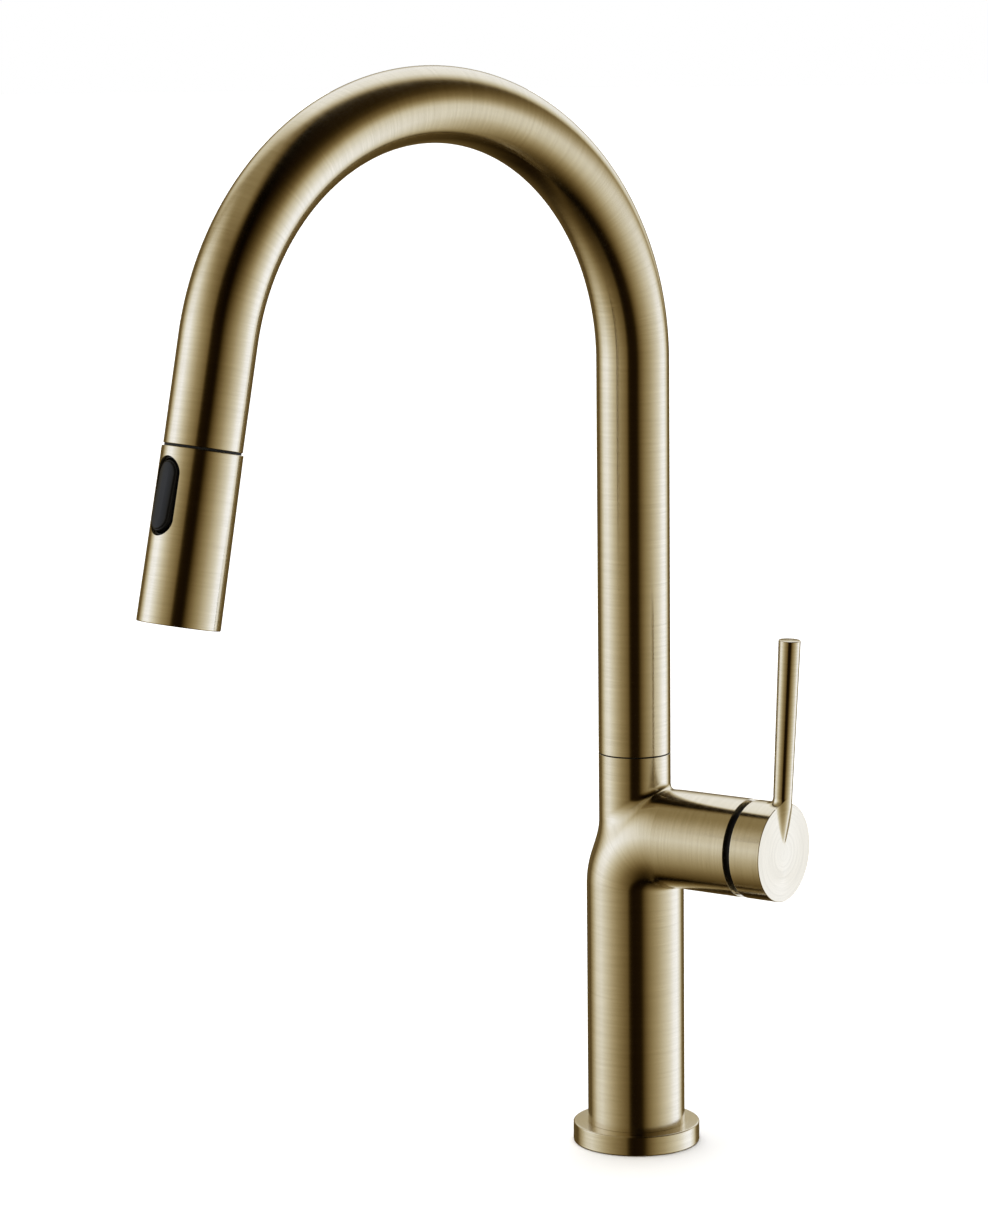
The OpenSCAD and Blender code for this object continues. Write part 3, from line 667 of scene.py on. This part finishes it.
# %% Exact normals
def true_normals(obj, exact, limit=25):
    """Sets each face corner to the exact normal when the two are within the limit."""
    mesh = obj.data
    corner = np.empty(len(mesh.loops) * 3, np.float32)
    mesh.corner_normals.foreach_get("vector", corner)
    corner = corner.reshape(-1, 3)
    index = np.empty(len(mesh.loops), int)
    mesh.loops.foreach_get("vertex_index", index)
    wanted = np.asarray(exact)[index]
    near = (corner * wanted).sum(1) > math.cos(math.radians(limit))
    corner[near] = wanted[near]
    mesh.normals_split_custom_set(corner.tolist())
    return int(near.sum()), len(near)


co = points(body)
exact = unit(body_slope(co))
off = np.abs(body_distance(co)[0]) > 0.02 * MM
exact[off] = 0
print("exact corners", true_normals(body, exact))

# %% [markdown]
# The grain runs round the bent tube on one side of the valley and round the stub on the other.
# In the valley the direction turns from one to the other. The stub's pattern is moved along, so
# that its scratches don't repeat the column's.

# %% Grain of the body
STUB_SHIFT = np.array([0, 0, 0.3])
lay, along = unbend_body(co)
_, tube, rise = body_distance(co)
share = np.clip(0.5 + (tube - rise) / (1.2 * FILLET), 0, 1)[:, None]
write(body, "lay", np.where(share > 0.5, co + STUB_SHIFT, lay))
write(body, "along", along * (1 - share) + np.array(UP) * share)
place_piece(body, GOLD, "faucet_body", "brushed_gold", "body_shell")

# %% [markdown]
# ## Spout
# A bender makes it from one tube: a straight rise, most of a half circle, and a straight end.
# So it is a circle extruded up, spun round the former's centre, and extruded again. Solidify
# gives it the tube's wall and a small bevel breaks the cut edges.

# %% Spout tube
SPOUT_WALL, CUT_EDGE = 1.2 * MM, 0.22 * MM
clear()
bpy.ops.mesh.primitive_circle_add(vertices=128, radius=TUBE_R, fill_type="NOTHING", location=(0, 0, FOOT_Z))
spout = begin("spout_arch")
pull(0, 0, ARC_Z - FOOT_Z)
arc_centre = SPOUT_DIR * ARC_R + UP * ARC_Z
bpy.ops.mesh.spin(steps=150, angle=SWEEP, center=arc_centre, axis=-SIDE)
pull(*(OUT * OUTLET_LEN))
tidy(spout)


def unbend_spout(co):
    """Places on the spout as if the tube were straight, its direction, and the way outward."""
    u, w, z = co @ np.array(SPOUT_DIR), co @ np.array(SIDE), co[:, 2]
    angle = np.arctan2(z - ARC_Z, ARC_R - u)
    angle = np.where(angle < 0, np.where(u > ARC_R, SWEEP, 0), np.minimum(angle, SWEEP))
    centre = np.outer(ARC_R * (1 - np.cos(angle)), SPOUT_DIR) + np.outer(ARC_Z + ARC_R * np.sin(angle), UP)
    along = np.outer(np.sin(angle), SPOUT_DIR) + np.outer(np.cos(angle), UP)
    inward = np.outer(np.cos(angle), SPOUT_DIR) - np.outer(np.sin(angle), UP)
    rest = co - centre
    extra = (rest * along).sum(1)
    across = (rest * inward).sum(1)
    away = rest - along * extra[:, None]
    return np.stack([across, w, ARC_Z + ARC_R * angle + extra], 1), along, away


reach = np.linalg.norm(unbend_spout(points(spout))[2], axis=1)
print("tube radius", reach.min() / MM, reach.max() / MM)
face = spout.data.polygons[0]
if unbend_spout(np.array([face.center]))[2][0] @ np.array(face.normal) < 0:
    spout.data.flip_normals()
modify(spout, "SOLIDIFY", thickness=SPOUT_WALL, offset=-1)
modify(spout, "BEVEL", width=CUT_EDGE, segments=3, limit_method="ANGLE", angle_limit=math.radians(50))
smooth(spout, 30)
lay, along, away = unbend_spout(points(spout))
print("exact corners", true_normals(spout, unit(away), 12))
write(spout, "lay", lay)
write(spout, "along", along)
place_piece(spout, GOLD, "spout", "brushed_gold", "spout_tube")

# %% [markdown]
# ## Spray head
# Its sleeve is turned, a touch wider at the foot, with a roof that closes on the neck. The
# rocker's window is a slot with round ends, milled in from the front: a stadium pushed
# through the wall, and a Boolean takes it away.

# %% The stadium
def stadium(name, length, width, x):
    """A flat stadium facing +X at this x, its length along Z, as one face, in millimetres."""
    clear()
    # 66 points put an edge, not a point, at each side, and that edge becomes the straight
    bpy.ops.mesh.primitive_circle_add(vertices=66, radius=width / 2 * MM, fill_type="NGON",
                                      rotation=(0, math.pi / 2, 0), location=(x * MM, 0, 0))
    obj = begin(name)
    for way in (1, -1):
        pick(obj, lambda co: way * co.z > 0)
        bpy.ops.transform.translate(value=(0, 0, way * (length - width) / 2 * MM))
    bpy.ops.mesh.select_all(action="SELECT")
    return obj


def relief(steps):
    """Insets the selected face and raises it, again and again, in millimetres."""
    for inset, rise in steps:
        if inset:
            bpy.ops.mesh.inset(thickness=inset * MM, depth=0)
        if rise and not inset:
            pull(rise * MM, 0, 0)
        elif rise:
            bpy.ops.transform.translate(value=(rise * MM, 0, 0))


# in millimetres: radii at the sleeve's top and foot, its length, the seam above it
TOP_R, FOOT_R, HEAD_LEN, SEAM_GAP = 14.4, 14.9, 62.8, 0.9
TAPER = (FOOT_R - TOP_R) / (HEAD_LEN - SEAM_GAP)
# the rocker's middle below the tube's end, its window, and how deep the window's floor lies
ROCKER_S, WINDOW_LEN, WINDOW_W, WINDOW_FLOOR = 18.4, 28, 12.5, 8.2


def skin_radius(z):
    """Radius of the sleeve at a height in the head's own frame, in metres."""
    return (TOP_R + TAPER * (-z / MM - SEAM_GAP)) * MM


# %% [markdown]
# The window is cut a hair larger than the frame that fills it. The Boolean disturbs the normals
# round the slot, so they are set from the cone that the sleeve is part of, and the grain's
# direction is turned with the piece when it goes to its place.

# %% Sleeve
neck_r, inner_r, roof = 9.72, 13.0, 1.5
play, through = 0.1, 9 * MM
shell = lathe("spray_sleeve", [
    (neck_r, -SEAM_GAP), (TOP_R, -SEAM_GAP, 0.3), (FOOT_R, -HEAD_LEN, 0.4), (inner_r, -HEAD_LEN, 0.3),
    (inner_r, -SEAM_GAP - roof), (neck_r, -SEAM_GAP - roof)], steps=192)
cutter = stadium("window", WINDOW_LEN + play, WINDOW_W + play, WINDOW_FLOOR)
pull(through, 0, 0)
bpy.ops.mesh.select_all(action="SELECT")
bpy.ops.transform.translate(value=(0, 0, -ROCKER_S * MM))
tidy(cutter)
modify(shell, "BOOLEAN", object=cutter, operation="DIFFERENCE", solver="EXACT")
bpy.data.objects.remove(cutter)
smooth(shell, 30, weighted=False)
co = points(shell)
flat = np.hypot(co[:, 0], co[:, 1])
exact = np.stack([co[:, 0] / flat, co[:, 1] / flat, 0 * flat + TAPER], 1)
print("exact corners", true_normals(shell, unit(exact), 12))
brush_turned(shell)
shell.data.transform(HEAD)
turned = np.empty(len(shell.data.vertices) * 3, np.float32)
shell.data.attributes["along"].data.foreach_get("vector", turned)
shell.data.attributes["along"].data.foreach_set(
    "vector", (turned.reshape(-1, 3) @ np.array(HEAD.to_3x3()).T.astype(np.float32)).ravel())
place_piece(shell, GOLD, "spray_head", "brushed_gold", "spray_shell")

# %% [markdown]
# ## Rocker
# A black frame lines the window, and the rocker sits in it with a thin gap all round. Both are
# stadiums worked in relief: the face is inset and raised step by step, which makes the
# bevelled edge and the raised pad. Worked flat, they are then wrapped on the sleeve's curve.

# %% Frame and rocker
SKIN = skin_radius(-ROCKER_S * MM)
# in millimetres: how deep the frame sits in its window, and the rocker's outline and floor
SINK = 1.1
PAD_LEN, PAD_W, PAD_FLOOR = 25.4, 10.4, 9.9
# the pin's distance from the head's axis, and the rocker's tilt at rest
PIN_R, REST_TILT = 11.2, math.radians(-3)


def wrap(obj, above):
    """Moves a piece down to the window, and bends what is further out than this onto the curve."""
    co = points(obj)
    co[:, 2] -= ROCKER_S * MM
    high = co[:, 0] > above * MM
    curve = np.sqrt(skin_radius(co[:, 2]) ** 2 - co[:, 1] ** 2)
    co[high, 0] += curve[high] - SKIN
    move_points(obj, co)


skin, bevel = SKIN / MM, 0.15
rocker_frame = stadium("rocker_surround", WINDOW_LEN, WINDOW_W, WINDOW_FLOOR)
relief([(0, skin - WINDOW_FLOOR - SINK - bevel), (bevel, bevel), (0.5, 0), (bevel, -bevel),
        (0, 10.2 - skin)] + [(0.6, 0)] * 6)
tidy(rocker_frame)
wrap(rocker_frame, 9.5)
smooth(rocker_frame, 35)
rocker_frame.data.transform(HEAD)
place_piece(rocker_frame, FINISH["black_plastic"], "spray_head", "black_plastic", "rocker_frame")

rocker = stadium("rocker_pad", PAD_LEN, PAD_W, PAD_FLOOR)
relief([
    (0, skin - PAD_FLOOR - 0.9), (0.1, 0.45), (0.1, 0.2), (0.1, 0.12), (0.14, 0.07), (0.24, 0.02),
    (0.05, 0.1), (0.06, 0.17), (0.1, 0.12), (0.16, 0.08), (0.26, 0.02)] + [(0.55, 0)] * 5)
tidy(rocker)
wrap(rocker, 12)
smooth(rocker, 35)
pin_at = Vector((PIN_R * MM, 0, -ROCKER_S * MM))
tilt = Matrix.Translation(pin_at) @ Matrix.Rotation(REST_TILT, 4, "Y") @ Matrix.Translation(-pin_at)
rocker.data.transform(HEAD @ tilt)
place_piece(rocker, FINISH["black_plastic"], "rocker", "black_plastic", "rocker_button")

# %% [markdown]
# ## Hub and lever
# The hub is a turned cup with a flat face and hardly any edge. It is turned upright like the
# rest, and then laid along the barrel.

# %% Hub
cup_r, face_h = 17.4, 3.4
hub_x0, hub_x1 = (v / MM for v in span("handle_hub", 0))
hub_r = (span("handle_hub", 2)[1] - span("handle_hub", 2)[0]) / 2 / MM
hub = lathe("lever_hub", [
    (cup_r, hub_x0, 0.2), (hub_r, hub_x0, 0.3), (hub_r, hub_x1, 0.3), (0, hub_x1), (0, hub_x1 - face_h),
    (cup_r, hub_x1 - face_h)], steps=192)
ON_BARREL = Matrix.Translation((0, 0, BARREL_Z)) @ Matrix.Rotation(math.pi / 2, 4, "Y")
hub.data.transform(ON_BARREL)
smooth(hub)
brush_turned(hub, (0, 0, BARREL_Z), (1, 0, 0))
place_piece(hub, GOLD, "handle", "brushed_gold", "handle_hub")

# %% [markdown]
# The lever is a tapered rod that leans out a little, with its axis just behind the hub's face.
# Its root is a cone that sinks into the face, so it shows there as a drop with a point. The
# lathe turns it with many close rings at the root, for the step after.

# %% Lever
LEAN = math.radians(2.8)
SET_BACK = 1.7
# in millimetres up the rod: where the cone starts and ends, and the radii there and at the tip
ROOT, FOOT, ROOT_R, LEVER_R, TIP_R = 4.0, 18.0, 1.45, 3.6, 4.2
RING = 0.2
lever_top = (span("lever_rod", 2)[1] - BARREL_Z) / MM / math.cos(LEAN)


def rod_radius(z):
    """Radius of the rod up its own axis: a cone at its root, and a slow taper above it."""
    cone = ROOT_R + (LEVER_R - ROOT_R) * (z - ROOT) / (FOOT - ROOT)
    return np.where(z < FOOT, cone, LEVER_R + (TIP_R - LEVER_R) * (z - FOOT) / (lever_top - FOOT))


root_rings = [(float(rod_radius(z)), z) for z in np.arange(2 * RING, FOOT + 7, RING)]
lever = lathe("lever_rod_tapered", [(0, RING)] + root_rings + [(TIP_R, lever_top, 0.4), (0, lever_top)],
              steps=192)
LEVER_AT = Matrix.Translation((hub_x1 * MM - SET_BACK * MM, 0, BARREL_Z)) @ Matrix.Rotation(LEAN, 4, "Y")
print("lever", len(lever.data.vertices), "points, top at", round(lever_top, 2), "mm")

# %% [markdown]
# The rod and the hub are one casting, and a fillet runs between them: wide on the flat face,
# where it makes the drop's soft edges, and small on the round side. Both surfaces are written
# as distances again. Each point near the root then goes out from the rod's axis until it
# meets their smooth minimum.

# %% The lever's root
TURN_IN = np.array(LEVER_AT.to_3x3())
AXIS_FOOT = np.array(LEVER_AT.translation)
FACE_FILLET, SIDE_FILLET = 3.0, 2.9
# the fillet on the face narrows towards the drop's point: height up the rod, and width
TIP_FILLET = ((1.5, 0.1), (4.0, 0.5), (7.0, 1.2), (10.0, 2.0), (16.0, FACE_FILLET))
# what is buried in the hub stays this far under its surface
HIDE = 0.006
MARCHES, MARCH, HALVINGS = 60, 0.06, 16


def root_distance(local):
    """Distance outside rod and hub together, in millimetres, from places in the rod's own frame."""
    world = (local * MM @ TURN_IN.T + AXIS_FOOT) / MM
    face = world[:, 0] - hub_x1
    side = np.hypot(world[:, 1], world[:, 2] - BARREL_Z / MM) - hub_r
    rod = np.hypot(local[:, 0], local[:, 1]) - rod_radius(local[:, 2])
    near = np.maximum(face, side)
    on_face = np.interp(local[:, 2], *zip(*TIP_FILLET))
    width = SIDE_FILLET + (on_face - SIDE_FILLET) * np.clip((face - side) / 2 + 0.5, 0, 1)
    return np.minimum(near, rod) - np.maximum(width - np.abs(near - rod), 0) ** 2 / (4 * width)


local = points(lever) / MM
radius = np.hypot(local[:, 0], local[:, 1])
low_part = (local[:, 2] < FOOT + 6.6) & (radius > 1)
rod_r = radius[low_part]
ray = local[low_part] * (1, 1, 0) / rod_r[:, None]
base = local[low_part] * (0, 0, 1)
near_r = far_r = rod_r - 0.05
for _ in range(MARCHES):
    inside = (root_distance(base + ray * far_r[:, None]) + HIDE < 0) & (far_r < rod_r + FACE_FILLET)
    near_r, far_r = np.where(inside, far_r, near_r), np.where(inside, far_r + MARCH, far_r)
for _ in range(HALVINGS):
    middle = (near_r + far_r) / 2
    inside = root_distance(base + ray * middle[:, None]) + HIDE < 0
    near_r, far_r = np.where(inside, middle, near_r), np.where(inside, far_r, middle)
local[low_part] = base + ray * far_r[:, None]
move_points(lever, local * MM)
print("root swells by up to", round(float((far_r - rod_r).max()), 2), "mm")

# %% [markdown]
# The normals come from the same distance, wherever a point lies on it, and then the lever is
# turned to its place and its grain is laid round its own axis.

# %% The lever's normals and grain
ON_SURFACE, TIP_EDGE = 0.06, 0.5
smooth(lever, 30)
grade = unit(slope(root_distance, local, 0.01))
grade[(np.abs(root_distance(local)) > ON_SURFACE) | (local[:, 2] > lever_top - TIP_EDGE)] = 0
lever.data.transform(LEVER_AT)
print("exact corners", true_normals(lever, grade @ TURN_IN.T, 30))
brush_turned(lever, tuple(AXIS_FOOT), tuple(LEVER_AT.to_3x3() @ UP))
place_piece(lever, GOLD, "handle", "brushed_gold", "lever_rod")

# %% [markdown]
# ## Hose
# When the head is pulled out, the braided hose follows it out of the spout. This stretch is one
# piece with many close rings, placed with the head at rest, and the braid is laid by place.

# %% Hose
HOSE_WAY, HOSE_R = 2.6, 4.0
LEAD_FOOT, LEAD_TOP = 14, 30
hose_rings = [(HOSE_R, z) for z in np.linspace(LEAD_FOOT, LEAD_TOP, 161)]
hose = lathe("braided_hose", [(HOSE_WAY, LEAD_FOOT)] + hose_rings + [(HOSE_WAY, LEAD_TOP)], steps=48)
hose.data.transform(HEAD)
smooth(hose, 30, weighted=False)
dress(hose, FINISH["hose_braid"])
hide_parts("hose_lead")
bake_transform(hose)

# %% [markdown]
# ## Camera
# A long lens from a little above and to the side, far enough away that the column and the
# spout stay almost parallel.

# %% Camera
AZIMUTH, PITCH, ROLL = math.radians(35.6), math.radians(8.453), math.radians(-0.601)
CAMERA_AT = (0.7915, -1.1985, 0.4256)
forward = Vector((
    -math.sin(AZIMUTH) * math.cos(PITCH), math.cos(AZIMUTH) * math.cos(PITCH), -math.sin(PITCH)))
right = Vector((math.cos(AZIMUTH), math.sin(AZIMUTH), 0))
right = Matrix.Rotation(-ROLL, 3, forward) @ right
above = right.cross(forward)
lens = bpy.data.cameras.new("camera")
lens.sensor_width, lens.lens = 36, 111.07
camera = bpy.data.objects.new("camera", lens)
bpy.context.scene.collection.objects.link(camera)
facing = Matrix((right, above, -forward)).transposed().to_4x4()
camera.matrix_world = Matrix.Translation(CAMERA_AT) @ facing
lens.clip_start, lens.clip_end = 0.05, 100
bpy.context.scene.camera = camera

# %% [markdown]
# ## Studio
# Metal shows the room more than itself. The room here is painted by direction: a tall soft
# light on each side, a bright wall behind, and darkness towards the camera. Each direction has
# a turn, in degrees from the camera with the right side positive, and a height, as a sine. Two
# tables give the light round the turn and up each side.

# %% Light by direction
world = bpy.data.worlds.new("studio")
bpy.context.scene.world = world
world.use_nodes = True
tree = world.node_tree
tree.nodes.clear()
way = node(tree, "ShaderNodeTexCoord").outputs["Generated"]
to_camera = node(tree, "ShaderNodeVectorRotate", {"Vector": way, "Angle": -AZIMUTH}, rotation_type="Z_AXIS")
faced = node(tree, "ShaderNodeSeparateXYZ", {0: to_camera.outputs[0]}).outputs
turn = calc(tree, "ARCTAN2", faced[0], calc(tree, "MULTIPLY", faced[1], -1.0))
turn = calc(tree, "MULTIPLY_ADD", turn, 1 / (2 * math.pi), 0.5)
height = calc(tree, "MULTIPLY_ADD", faced[2], 0.5, 0.5)
ROUND = [
    (-180, .12), (-168, .08), (-156, .12), (-138, .10), (-124, .45), (-108, .85), (-92, .92), (-76, .72),
    (-60, .50), (-44, .32), (-28, .2), (-21, .15), (-17, .05), (-13, .015), (-7, .01), (8, .01), (13, .02),
    (19, .08), (26, .15), (36, .24), (52, .37), (68, .53), (84, .68), (100, .88), (114, .93), (128, .64),
    (141, .12), (152, .1), (166, .07), (180, .12)]
LEFT = [
    (-1, .06), (-.96, .05), (-.88, .08), (-.77, .18), (-.62, .36), (-.44, .55), (-.34, .65), (-.24, .74),
    (-.12, .86), (.1, 1), (.37, .82), (.56, .56), (.67, .38), (.78, .2), (.85, .25), (.94, .2), (1, .12)]
RIGHT = [
    (-1, .1), (-.96, .1), (-.88, .22), (-.77, .4), (-.7, .52), (-.62, .64), (-.44, .9), (-.24, 1),
    (-.03, .94), (.1, .72), (.17, .55), (.3, .3), (.37, .22), (.5, .115), (.56, .07), (.72, .03), (1, .02)]
sides = ramp(tree, turn, [((a + 180) / 360, v) for a, v in ROUND])
left = ramp(tree, height, [((h + 1) / 2, v) for h, v in LEFT])
right_side = ramp(tree, height, [((h + 1) / 2, v) for h, v in RIGHT])
fade = mix(tree, between(tree, faced[0], -0.15, 0.15, smooth_step=True), left, right_side)
glow = calc(tree, "MULTIPLY", sides, fade)
print("light by direction", len(ROUND), "by", len(LEFT), "and", len(RIGHT))

# %% [markdown]
# The wall behind is brightest straight ahead and above, and fades towards the floor and the
# left. The ceiling's corner on the left keeps a little light.

# %% Wall and corner
wall = calc(tree, "MULTIPLY_ADD", faced[2], 0.6, faced[1])
wall = ramp(tree, wall, [(0.68, 0.0), (0.78, 0.32), (0.84, 0.5), (0.93, 0.66), (1.0, 0.76)])
lift = calc(tree, "MULTIPLY_ADD", calc(tree, "MAXIMUM", faced[0], 0.0), 0.6, faced[2])
wall = calc(tree, "MULTIPLY", wall, between(tree, lift, 0.1, 0.5, smooth_step=True))
wall = calc(tree, "MULTIPLY", wall, between(tree, faced[0], -0.42, -0.25, 0.72, 1.0))
glow = calc(tree, "MAXIMUM", glow, wall)
leftward = between(tree, faced[0], -0.1, -0.35)
corner = calc(tree, "MULTIPLY", leftward, between(tree, faced[2], 0.45, 0.78, 0.0, 0.22))
glow = calc(tree, "MAXIMUM", glow, corner)
print("world", len(tree.nodes), "nodes so far")

# %% [markdown]
# Dim parts of the room are warm and the lights are cool, as walls and lamps are. `TONE` says
# so: a brightness, then green and blue as shares of red. It is what the metal should show, so it
# is divided by the metal's own colour. The camera itself sees plain white.

# %% Tones of the room
TONE = [
    (0.009, .47, .10), (0.028, .55, .115), (0.0615, .58, .14), (0.112, .634, .19), (0.17, .668, .24),
    (0.247, .735, .309), (0.345, .776, .39), (0.447, .838, .497), (0.554, .871, .581),
    (0.652, .909, .683), (0.75, .934, .769), (0.84, .956, .846), (0.93, .98, .92), (1.0, 1.0, .98)]
BASE = (0.68, 0.605, 0.45)
BRIGHT = 2.0
tint = ramp(tree, glow, [(0.0, 0.0)] + [
    (v, (v / BASE[0] / BRIGHT, v * g / BASE[1] / BRIGHT, v * b / BASE[2] / BRIGHT)) for v, g, b in TONE])
room = node(tree, "ShaderNodeBackground", {"Color": tint, "Strength": BRIGHT}).outputs[0]
white = node(tree, "ShaderNodeBackground", {"Color": (1, 1, 1, 1), "Strength": 1.0}).outputs[0]
seen = node(tree, "ShaderNodeLightPath").outputs["Is Camera Ray"]
both = node(tree, "ShaderNodeMixShader", {0: seen, 1: room, 2: white}).outputs[0]
node(tree, "ShaderNodeOutputWorld", {"Surface": both})

# %% [markdown]
# The floor is a wide sheet of white paper that catches a faint shadow. It gives no reflection
# in the metal, since the painted room already holds one. One broad overhead light, which the
# metal doesn't show either, makes the shadow.

# %% Floor and overhead light
FLOOR_R, FLOOR_Z = 40, -0.2 * MM
clear()
bpy.ops.mesh.primitive_circle_add(vertices=128, radius=FLOOR_R, fill_type="NGON", location=(0, 0, FLOOR_Z))
floor = bpy.context.object
floor.name = "floor"
paper, tree, shader = material("white floor")
place = node(tree, "ShaderNodeTexCoord").outputs["Object"]
cloud = noise(tree, place, 3.0, 3.0)
feed(tree, mix(tree, cloud, (0.9, 0.9, 0.9, 1), (0.93, 0.93, 0.93, 1)), shader.inputs["Base Color"])
shader.inputs["Roughness"].default_value = 0.9
shader.inputs["Specular IOR Level"].default_value = 0.0
mirror = node(tree, "ShaderNodeLightPath").outputs["Is Glossy Ray"]
clearing = node(tree, "ShaderNodeBsdfTransparent").outputs[0]
either = node(tree, "ShaderNodeMixShader", {0: mirror, 1: shader.outputs[0], 2: clearing}).outputs[0]
feed(tree, either, tree.nodes["Material Output"].inputs[0])
dress(floor, paper)

lamp = bpy.data.lights.new("overhead", "SUN")
lamp.energy, lamp.angle = 3.6, math.radians(70)
overhead = bpy.data.objects.new("overhead", lamp)
bpy.context.scene.collection.objects.link(overhead)
overhead.visible_glossy = False
bpy.context.scene.view_settings.view_transform = "Standard"
